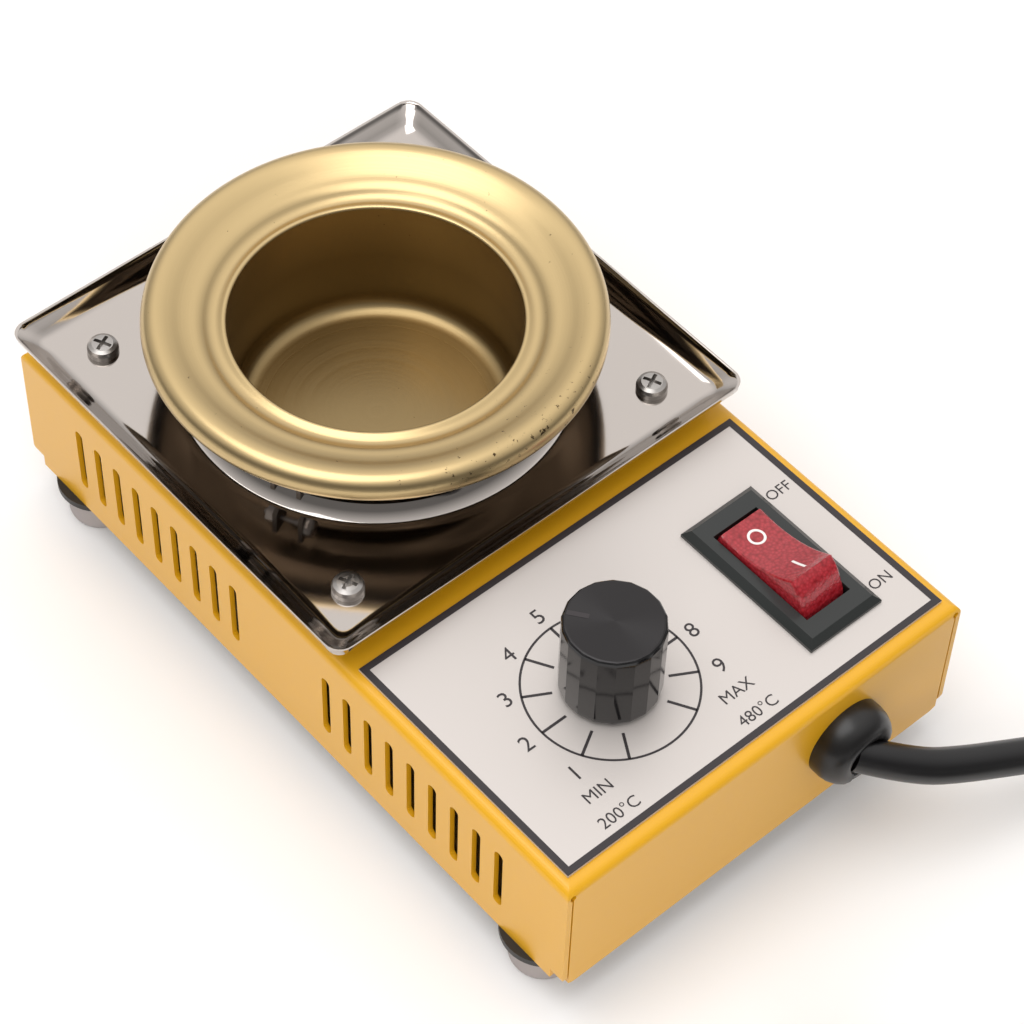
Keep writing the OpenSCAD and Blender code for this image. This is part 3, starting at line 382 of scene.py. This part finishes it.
def make_stainless():
    """Mirror-bright steel, a little warm: hairlines along X, and clouds 17 mm wide where they are
    stronger, only blur what it mirrors."""
    material, shader = new_material("polished stainless", "#BDB6B0", 1.0, 0.1)
    stretch = add(material, "ShaderNodeVectorMath", {1: (0.12, 9.0, 9.0)},
                  {0: object_mm(material)}, operation="MULTIPLY")
    hair = add(material, "ShaderNodeTexNoise", {"Scale": 1.0, "Detail": 3.0},
               {"Vector": stretch.outputs[0]})
    cloud = add(material, "ShaderNodeTexNoise", {"Scale": 0.06, "Detail": 2.0},
                {"Vector": object_mm(material)})
    wiped = add(material, "ShaderNodeMath",
                links={0: hair.outputs["Fac"], 1: cloud.outputs["Fac"]}, operation="MULTIPLY")
    spread = add(material, "ShaderNodeMapRange", {"To Min": 0.05, "To Max": 0.2},
                 {"Value": wiped.outputs[0]})
    join(material, spread.outputs["Result"], shader, "Roughness")
    return material


stainless = make_stainless()
make_tray()
# Dark and dull next to the tray: its colour is partly heat stain and partly painted shade, the
# shade of the gap under the crucible's rim.
band_stain_and_shade, shader = new_material("heat-stained steel with painted shade", "#6E665E", 1.0, 0.42)
ripple(band_stain_and_shade, shader, 1.5, 0.02)
give(band_stain_and_shade, "heater_band")

# ---------- crucible ----------
# One spun piece in a brass-like hard coat, hung by its wide rolled rim in the band heater. It
# has rings left by the spinning tool, painted shade that deepens down the hole, painted shade on
# its underside, and dark specks on the front of its rim.

POT_EDGE = 0.0536


def arc(cx, cz, r, a, b, n):
    """Points of an arc about (cx, cz), from angle a to angle b in degrees."""
    t = np.radians(np.linspace(a, b, n))
    return [(cx + r * math.cos(x), cz + r * math.sin(x)) for x in t]


def lathe(profile, centre, count):
    """Solid of revolution about an upright axis: each (radius, height) pair of the profile becomes
    a ring, and its first and last points, which lie on the axis, close it with two fans."""
    angle = np.arange(count) * 2 * math.pi / count
    verts, faces = skin([np.stack([centre[0] + r * np.cos(angle), centre[1] + r * np.sin(angle),
                                   np.full(count, centre[2] + z)], 1)
                         for r, z in profile[1:-1]], closed=False)
    n = len(verts)
    ends = [(centre[0], centre[1], centre[2] + z) for _, z in (profile[0], profile[-1])]
    faces += [(n, (j + 1) % count, j) for j in range(count)]
    faces += [(n + 1, n - count + j, n - count + (j + 1) % count) for j in range(count)]
    return np.vstack([verts, ends]), faces


def resampled(profile, step):
    """The profile as a smooth curve through its points, about one step apart."""
    flat = smooth_path([(x, 0, z) for x, z in profile], step)
    return [(x, z) for x, _, z in flat]


def make_crucible():
    """Floor, fillet, straight wall, hole edge, groove, shoulder, plateau and the rolled edge,
    then back under them all at the wall's thickness."""
    wall = 25.0
    thick = 1.2
    floor_z = -24.9
    bend = 3.5
    rolled = [(25.9, -0.08), (26.6, -0.42), (27.3, -0.52), (28.2, -0.2), (29.2, 0.55),
              (30.2, 1.0), (31.4, 1.25), (32.8, 1.75), (34.3, 2.5), (35.7, 3.05), (36.8, 3.2),
              (37.8, 2.9), (38.7, 2.2), (39.25, 1.2), (39.4, 0.3), (39.25, -0.4), (38.8, -0.6),
              (38.35, -0.2), (38.2, 0.7), (37.4, 1.6), (36.0, 1.8), (34.4, 1.3), (32.8, 0.55),
              (31.2, 0.05), (29.8, -0.5), (28.6, -1.5), (27.6, -1.9)]
    upper = [(0, floor_z)] + arc(wall - bend, floor_z + bend, bend, -90, 0, 12)
    upper += arc(wall + 0.6, -0.6, 0.6, 180, 75, 8)
    under = resampled(rolled, 0.4) + arc(27.2, -2.8, 1, 90, 180, 6)
    bend += thick
    under += arc(wall + thick - bend, floor_z - thick + bend, bend, 0, -90, 10)
    under += [(0, floor_z - thick)]
    profile = [(r / 1000, z / 1000) for r, z in upper + under]
    verts, faces = lathe(profile, (0, TRAY_Y, POT_EDGE), 256)
    pot = add_piece("spun_crucible", verts, [f[::-1] for f in faces], spun_brass, angle=30)
    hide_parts("crucible")
    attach(pot, "base")


def make_spun_brass():
    """Satin brass whose grain runs round the axis, in rings about 0.4 mm apart.
    Inside the hole it is painted browner the deeper it goes, as shade; its underside is painted
    dark, as shade; and small dark specks gather on the front of the rim."""
    material, shader = new_material("spun brass coat", "#C8AE78", 1.0, 0.3)
    place = add(material, "ShaderNodeTexCoord")
    centred = add(material, "ShaderNodeVectorMath", {1: (0, TRAY_Y, POT_EDGE)},
                  {0: place.outputs["Object"]}, operation="SUBTRACT")
    parts = add(material, "ShaderNodeSeparateXYZ", links={"Vector": centred.outputs[0]})
    across = add(material, "ShaderNodeCombineXYZ",
                 links={"X": parts.outputs["X"], "Y": parts.outputs["Y"]})
    radius = add(material, "ShaderNodeVectorMath", links={0: across.outputs[0]},
                 operation="LENGTH")
    lines = add(material, "ShaderNodeCombineXYZ",
                links={"X": radius.outputs["Value"], "Y": parts.outputs["Z"]})
    grow = add(material, "ShaderNodeVectorMath", {1: (2600, 2600, 1)}, {0: lines.outputs[0]},
               operation="MULTIPLY")
    grain = add(material, "ShaderNodeTexNoise", {"Scale": 1.0, "Detail": 3.0},
                {"Vector": grow.outputs[0]})
    rough = add(material, "ShaderNodeMapRange", {"To Min": 0.22, "To Max": 0.42},
                {"Value": grain.outputs["Fac"]})
    join(material, rough.outputs["Result"], shader, "Roughness")
    bump = add(material, "ShaderNodeBump", {"Strength": 0.5, "Distance": 0.00002},
               {"Height": grain.outputs["Fac"]})
    join(material, bump.outputs["Normal"], shader, "Normal")
    # Painted shade: within the hole edge's radius, the colour goes browner with depth down the
    # hole.
    hole_shade_depth = add(material, "ShaderNodeMapRange",
               {"From Min": -0.001, "From Max": -0.012, "To Min": 0.0, "To Max": 1.0},
               {"Value": parts.outputs["Z"]})
    within = add(material, "ShaderNodeMath", {1: 0.0262}, {0: radius.outputs["Value"]},
                 operation="LESS_THAN")
    inside = add(material, "ShaderNodeMath", links={0: hole_shade_depth.outputs["Result"],
                                                    1: within.outputs[0]}, operation="MULTIPLY")
    tone = add(material, "ShaderNodeMix", {"A": linear("#C6AE80"), "B": linear("#97825C")},
               {"Factor": inside.outputs[0]}, data_type="RGBA")
    speck = add(material, "ShaderNodeTexNoise", {"Scale": 0.9, "Detail": 4.0, "Roughness": 0.7},
                {"Vector": object_mm(material)})
    front = add(material, "ShaderNodeMapRange",
                {"From Min": -0.026, "From Max": -0.038, "To Min": 0.0, "To Max": 0.09},
                {"Value": parts.outputs["Y"]})
    dirt = add(material, "ShaderNodeMath",
               links={0: speck.outputs["Fac"], 1: front.outputs["Result"]}, operation="ADD")
    dark = add(material, "ShaderNodeMapRange", {"From Min": 0.70, "From Max": 0.74},
               {"Value": dirt.outputs[0]})
    worn = add(material, "ShaderNodeMix", {"B": linear("#4A3A28")},
               {"Factor": dark.outputs["Result"], "A": tone.outputs["Result"]}, data_type="RGBA")
    # Painted shade: faces that look downwards are mixed towards dark brown, the shade under the
    # rim.
    facing = add(material, "ShaderNodeNewGeometry")
    way = add(material, "ShaderNodeSeparateXYZ", links={"Vector": facing.outputs["Normal"]})
    below = add(material, "ShaderNodeMapRange", {"From Min": -0.15, "From Max": -0.6},
                {"Value": way.outputs["Z"]})
    underside_shaded = add(material, "ShaderNodeMix", {"B": linear("#6A5C4C")},
                {"Factor": below.outputs["Result"], "A": worn.outputs["Result"]},
                data_type="RGBA")
    join(material, underside_shaded.outputs["Result"], shader, "Base Color")
    return material


spun_brass = make_spun_brass()
make_crucible()

# ---------- heater and insulation ----------
# The winding in its mica wrap round the crucible, the two terminals in ceramic beads, and the
# disc of fired ceramic under it. They are mostly out of sight.

# Brown and flaky, with a half-dull shine.
mica, shader = new_material("mica", "#7A6248", 0.0, 0.5)
ripple(mica, shader, 1.2, 0.03)
give(mica, "heater_mica")
# Chalky off-white without any shine.
ceramic, shader = new_material("fired ceramic", "#EAE7DE", 0.0, 0.7)
ripple(ceramic, shader, 0.4, 0.015)
give(ceramic, "heater_terminals", "insulation_disc")

# ---------- control panel ----------
# A thin aluminium plate fixed on the front of the box's top, satin silver, with a black border,
# a dial and words screened on it. The ink is modelled as flat shapes just above the plate.

PANEL_Z = 0.037
INK_Z = PANEL_Z + 0.00003
DIAL = (-0.0119, -0.0465)


def make_panel_metal():
    """Satin lacquer over aluminium: light grey with a fine sparkle."""
    material, shader = new_material("lacquered aluminium", "#CDC6C1", 0.35, 0.42)
    ripple(material, shader, 0.15, 0.004)
    return material


def print_piece(name, verts, faces):
    """A flat printed shape that lies 0.03 mm above the plate."""
    piece = add_piece(name, verts, faces, ink, smooth=False)
    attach(piece, "base")


def flat_ring(centre, r_in, r_out, z, count):
    """Flat annulus, thin enough to read as ink."""
    a = np.arange(count) * 2 * math.pi / count
    rings = [np.stack([centre[0] + r * np.cos(a), centre[1] + r * np.sin(a),
                       np.full(count, z)], 1) for r in (r_in, r_out)]
    return skin(rings, closed=False)


def bar(p, q, width, z):
    """Flat straight stroke from p to q."""
    p, q = np.array(p, float), np.array(q, float)
    d = (q - p) / np.linalg.norm(q - p)
    n = np.array([-d[1], d[0]]) * width / 2
    corners = [p - n, q - n, q + n, p + n]
    return [(x, y, z) for x, y in corners], [(0, 1, 2, 3)]


def words(text, x, y, height):
    """Printed letters with their middle at (x, y), as a flat mesh."""
    curve = bpy.data.curves.new("letters", "FONT")
    curve.body = text
    curve.size = height / 0.72
    curve.align_x = "CENTER"
    curve.align_y = "CENTER"
    curve.resolution_u = 3
    draft = bpy.data.objects.new("letters", curve)
    bpy.context.scene.collection.objects.link(draft)
    bpy.context.view_layer.update()
    mesh = bpy.data.meshes.new_from_object(draft)
    bpy.data.objects.remove(draft)
    mesh.transform(Matrix.Translation((x, y, INK_Z)))
    name = "print_" + text.replace("°", "")
    mesh.name = name
    mesh.materials.clear()
    mesh.materials.append(ink)
    piece = bpy.data.objects.new(name, mesh)
    bpy.context.scene.collection.objects.link(piece)
    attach(piece, "base")


def make_print():
    """The border, the dial's circle with eleven ticks, its numbers and the switch's two words."""
    outer = [(-0.0408, -0.0689), (0.0408, -0.0689), (0.0408, -0.0184), (-0.0408, -0.0184)]
    inset = 0.00125
    inner = [(x - math.copysign(inset, x), y + (inset if y < -0.04 else -inset))
             for x, y in outer]
    verts = [(x, y, INK_Z) for x, y in outer + inner]
    print_piece("print_border", verts, [(i, (i + 1) % 4, 4 + (i + 1) % 4, 4 + i)
                                        for i in range(4)])
    print_piece("print_circle", *flat_ring(DIAL, 0.0143, 0.0147, INK_Z, 128))
    for k in range(11):
        a = math.radians(240 - 30 * k)
        d = np.array((math.cos(a), math.sin(a)))
        c = np.array(DIAL)
        print_piece("print_tick_%d" % k, *bar(c + 0.0095 * d, c + 0.0145 * d, 0.0005, INK_Z))
    numbers = {"1": (-27.5, -55.6), "2": (-29.7, -46.6), "3": (-26.7, -38.1),
               "4": (-20.6, -31.8), "5": (-12.0, -29.1), "6": (-3.4, -31.8),
               "7": (3.2, -38.4), "8": (5.4, -47.1), "9": (4.1, -55.1)}
    for text, (x, y) in numbers.items():
        words(text, x / 1000, y / 1000, 0.003)
    for text, x, y, h in (("MIN", -27, -60.4, 2.2), ("200°C", -27, -65.4, 2.2),
                          ("MAX", 2.7, -60.4, 2.2), ("480°C", 2.7, -65.4, 2.2),
                          ("OFF", 36.2, -35.2, 2.1), ("ON", 36.0, -59.5, 2.1)):
        words(text, x / 1000, y / 1000, h / 1000)


panel_metal = make_panel_metal()
# Near-black and even, without the shine of the plate.
ink, _ = new_material("black screen ink", "#2B2527", 0.0, 0.5)
give(panel_metal, "panel_plate")
make_print()

# ---------- knob ----------
# A hollow moulded cap in gloss black, pushed on the potentiometer's shaft, with eighteen flats
# round it, a turned top and a flat dark line for its pointer groove, painted as the groove's
# shade.

KNOB = (-0.012, -0.04645)


def make_knob():
    """A closed shell: at each height the outline is a regular polygon whose size follows the
    side's slight taper and the rounded upper edge; inside it is hollow."""
    count, sides = 180, 18
    angle = np.arange(count) * 2 * math.pi / count
    wedge = 2 * math.pi / sides
    off = (angle + wedge / 2) % wedge - wedge / 2
    flat = math.cos(wedge / 2) / np.cos(off)
    outlines = []
    for r, z, share in ((7.2, 37.8, 0), (8.0, 37.8, 1), (8.25, 37.85, 1), (8.4, 38.1, 1),
                        (8.5, 39, 1), (8.5, 52.9, 1), (8.46, 53.4, 1), (8.3, 53.8, 0.8),
                        (8.05, 54.02, 0.5), (7.8, 54.1, 0), (7.5, 54.1, 0), (0.01, 54.1, 0)):
        outlines.append((r / 1000 * (share * flat + (1 - share) * 0.99), z / 1000))
    outlines += [(r / 1000 * np.ones(count), 0.0516) for r in (0.01, 7.2)]
    verts, faces = skin([np.stack([KNOB[0] + r * np.cos(angle), KNOB[1] + r * np.sin(angle),
                                   np.full(count, z)], 1) for r, z in outlines])
    knob = add_piece("knob_cap", verts, faces, gloss_black, angle=15)
    knob.data.materials.append(knob_top)
    for face in knob.data.polygons:
        if face.center.z > 0.0539 and face.normal.z > 0.9:
            face.material_index = 1
    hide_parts("knob")
    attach(knob, "knob")
    # Painted shade: the pointer groove isn't cut; a flat matt ink bar on the top stands for the
    # shade in it.
    d = np.array((math.cos(math.radians(127)), math.sin(math.radians(127))))
    verts, faces = bar(np.array(KNOB) + 0.0041 * d, np.array(KNOB) + 0.0077 * d, 0.0009, 0.05414)
    groove_shade_line = add_piece("knob_pointer", verts, faces, ink, smooth=False)
    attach(groove_shade_line, "knob")


# Sharp small highlights on each flat.
gloss_black, _ = new_material("gloss black ABS", "#0C0B0C", 0.0, 0.12)
# Fine turning marks stretch the highlight on the top.
knob_top, shader = new_material("turned knob top", "#1E1B1C", 0.3, 0.3)
shader.inputs["Anisotropic"].default_value = 0.8
make_knob()
# Plain satin metal, seen only in the gap under the knob.
shaft_metal, _ = new_material("shaft aluminium", "#9A9A9C", 1.0, 0.35)
give(shaft_metal, "control_shaft", "heat_sink")

# ---------- rocker switch ----------
# A black moulded bezel and case, snapped into the panel, and a red translucent rocker on its
# cross pin, with a white ring and bar printed on it and a neon lamp behind it.

SWITCH = (0.025, -0.04725)
PIVOT_Z = 0.0345
TILT = math.radians(-13)


def rocker_point(x, y, z):
    """A place on the rocker, in millimetres from its pivot, as it lies tilted."""
    c, s = math.cos(TILT), math.sin(TILT)
    return (SWITCH[0] + x / 1000, SWITCH[1] + (y * c - z * s) / 1000,
            PIVOT_Z + (y * s + z * c) / 1000)


def face_height(y):
    """Height of the rocker's hollow face, a parabola in y, in millimetres over the pivot."""
    return 5.9 + 1.7 * (y / 8.3) ** 2


def make_rocker():
    """The side outline carried across the width, a little smaller at both sides so that the
    edges are round, with the face hollow between its two ridges."""
    top = [(y, face_height(y)) for y in np.linspace(-8.3, 8.3, 25)]
    outline = top + [(9.2, 6.6), (9.9, 5.2), (10.7, 1.5), (10.7, -1.5), (9.9, -3)]
    outline += [(-9.9, -3), (-10.7, -1.5), (-10.7, 1.5), (-9.9, 5.2), (-9.2, 6.6)]
    rows = []
    for x, drop in ((-4.6, 0.45), (-4.5, 0.2), (-4.25, 0.03), (-4.0, 0), (4.0, 0), (4.25, 0.03),
                    (4.5, 0.2), (4.6, 0.45)):
        rows.append([rocker_point(x, y - math.copysign(drop, y) * (abs(y) > 8.9),
                                  z - drop * (z > 3)) for y, z in outline])
    verts, faces = skin([np.array(row) for row in rows], closed=False)
    n = len(outline)
    faces += [tuple(range(n - 1, -1, -1)), tuple(len(verts) - n + j for j in range(n))]
    piece = add_piece("rocker_cap", verts, [f[::-1] for f in faces], red_lens, angle=25)
    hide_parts("rocker")
    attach(piece, "rocker")
    make_marks()


def make_marks():
    """The printed O on the far half and the I on the near half, on the hollow face."""
    a = np.arange(48) * 2 * math.pi / 48
    rings = [np.array([rocker_point(r * math.cos(t), 4.6 + r * math.sin(t),
                                    face_height(4.6 + r * math.sin(t)) + 0.03) for t in a])
             for r in (1.15, 1.6)]
    verts, faces = skin(rings, closed=False)
    ring_mark = add_piece("rocker_o", verts, faces, white_ink, smooth=False)
    ys = np.linspace(-6.9, -3.7, 9)
    verts = [rocker_point(x, y, face_height(y) + 0.03) for y in ys for x in (-0.25, 0.25)]
    faces = [(2 * i, 2 * i + 1, 2 * i + 3, 2 * i + 2) for i in range(8)]
    bar_mark = add_piece("rocker_i", verts, faces, white_ink, smooth=False)
    for mark in (ring_mark, bar_mark):
        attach(mark, "rocker")


def make_red_lens():
    """Clear red plastic over a pattern of fine dimples that spreads the lamp's light."""
    material, shader = new_material("red lamp lens", "#A81E2A", 0.0, 0.16)
    shader.inputs["Subsurface Weight"].default_value = 0.25
    shader.inputs["Subsurface Radius"].default_value = (0.003, 0.0006, 0.0005)
    shader.inputs["Coat Weight"].default_value = 0.3
    dots = add(material, "ShaderNodeTexVoronoi", {"Scale": 1.7}, {"Vector": object_mm(material)})
    bump = add(material, "ShaderNodeBump", {"Strength": 0.4, "Distance": 0.00008},
               {"Height": dots.outputs["Distance"]})
    join(material, bump.outputs["Normal"], shader, "Normal")
    tone = add(material, "ShaderNodeMix", {"A": linear("#B5303A"), "B": linear("#7E0E16")},
               {"Factor": dots.outputs["Distance"]}, data_type="RGBA")
    join(material, tone.outputs["Result"], shader, "Base Color")
    return material


red_lens = make_red_lens()
# Flat warm white, so that the marks stay readable at any tilt.
white_ink, _ = new_material("white screen ink", "#EDE6E2", 0.0, 0.4)
make_rocker()
# Slightly green-grey black with a satin shine on the bezel's slopes.
switch_black, shader = new_material("black nylon", "#232625", 0.0, 0.3)
ripple(switch_black, shader, 0.5, 0.004)
give(switch_black, "switch_body", "triac", "coil_tie")
# Yellow metal, bright on the plug's pins.
brass, _ = new_material("bright brass", "#D0AE62", 1.0, 0.25)
give(brass, "switch_terminals", "plug_pins", "earth_stud")
# Clear orange glass, just visible through the lens.
lamp_glass, shader = new_material("lamp glass", "#F2B070", 0.0, 0.05)
shader.inputs["Transmission Weight"].default_value = 0.6
give(lamp_glass, "neon_lamp")

# ---------- circuit board ----------
# A small control board of green fibreglass with the usual coloured parts. It stands on four
# spacers, screwed to the base plate in the front left corner of the box.

# Each is one plain colour, glossy enough to catch a highlight through the vent slots.
for title, colour, rough, name in (("solder mask", "#1F6B42", 0.35, "circuit_board"),
                                   ("blue film part", "#24418F", 0.3, "film_capacitor"),
                                   ("lacquered winding", "#B4622A", 0.4, "choke"),
                                   ("lacquered resistor", "#BFA274", 0.45, "resistors"),
                                   ("green terminal block", "#2B8A45", 0.4, "terminal_block")):
    part, shader = new_material(title, colour, 0.0, rough)
    ripple(part, shader, 0.6, 0.01)
    give(part, name)

# ---------- plug ----------
# A flat-sided plug moulded on the lead's end in the same PVC, a little duller, with three brass
# pins.

# Black with a fine moulded grain.
plug_pvc, shader = new_material("moulded PVC", "#161616", 0.0, 0.45)
ripple(plug_pvc, shader, 0.6, 0.008)
give(plug_pvc, "plug_body")

# ---------- studio ----------
# A pale floor, one large soft lamp overhead, a fill from the front left, and a room that is
# white to the camera.


def add_lamp(name, place, energy, size, mirrored):
    """A square soft lamp that faces the object; one that isn't mirrored lights matt surfaces but
    doesn't show in polished ones."""
    data = bpy.data.lights.new(name, "AREA")
    data.energy = energy
    data.size = size
    lamp = bpy.data.objects.new(name, data)
    bpy.context.scene.collection.objects.link(lamp)
    lamp.location = place
    lamp.rotation_euler = (-Vector(place)).to_track_quat("-Z", "Y").to_euler()
    lamp.visible_glossy = mirrored


def make_world():
    """White to the camera. To the object it is bright overhead and beyond, and dark near the
    horizon and behind the camera, so that polished metal has something dark to mirror."""
    world = bpy.data.worlds.new("studio")
    bpy.context.scene.world = world
    world.use_nodes = True
    background = world.node_tree.nodes["Background"]
    place = add(world, "ShaderNodeTexCoord")
    lean = add(world, "ShaderNodeVectorMath", {1: (0.27, 0.295, 1.0)},
               {0: place.outputs["Generated"]}, operation="DOT_PRODUCT")
    height = add(world, "ShaderNodeMapRange",
                 {"From Min": 0.2, "From Max": 0.95, "To Min": 0.2, "To Max": 1.2},
                 {"Value": lean.outputs["Value"]})
    path = add(world, "ShaderNodeLightPath")
    shown = add(world, "ShaderNodeMath", links={0: path.outputs["Is Camera Ray"],
                                                1: height.outputs["Result"]},
                operation="MAXIMUM")
    join(world, shown.outputs[0], background, "Strength")
    background.inputs["Color"].default_value = linear("#FEFCFB")


# Matt off-white that takes a soft shadow.
floor_paint, _ = new_material("floor paint", "#F4F3F2", 0.0, 0.7)
floor = add_piece("floor", [(-1.5, -1.5, 0), (1.5, -1.5, 0), (1.5, 1.5, 0), (-1.5, 1.5, 0)],
                  [(0, 1, 2, 3)], floor_paint, smooth=False)
add_lamp("overhead", (-0.3, 0.1, 1.3), 7, 1.0, True)
add_lamp("fill", (-0.6, -0.8, 0.55), 5, 0.8, False)
make_world()
bpy.context.scene.view_settings.view_transform = "Standard"
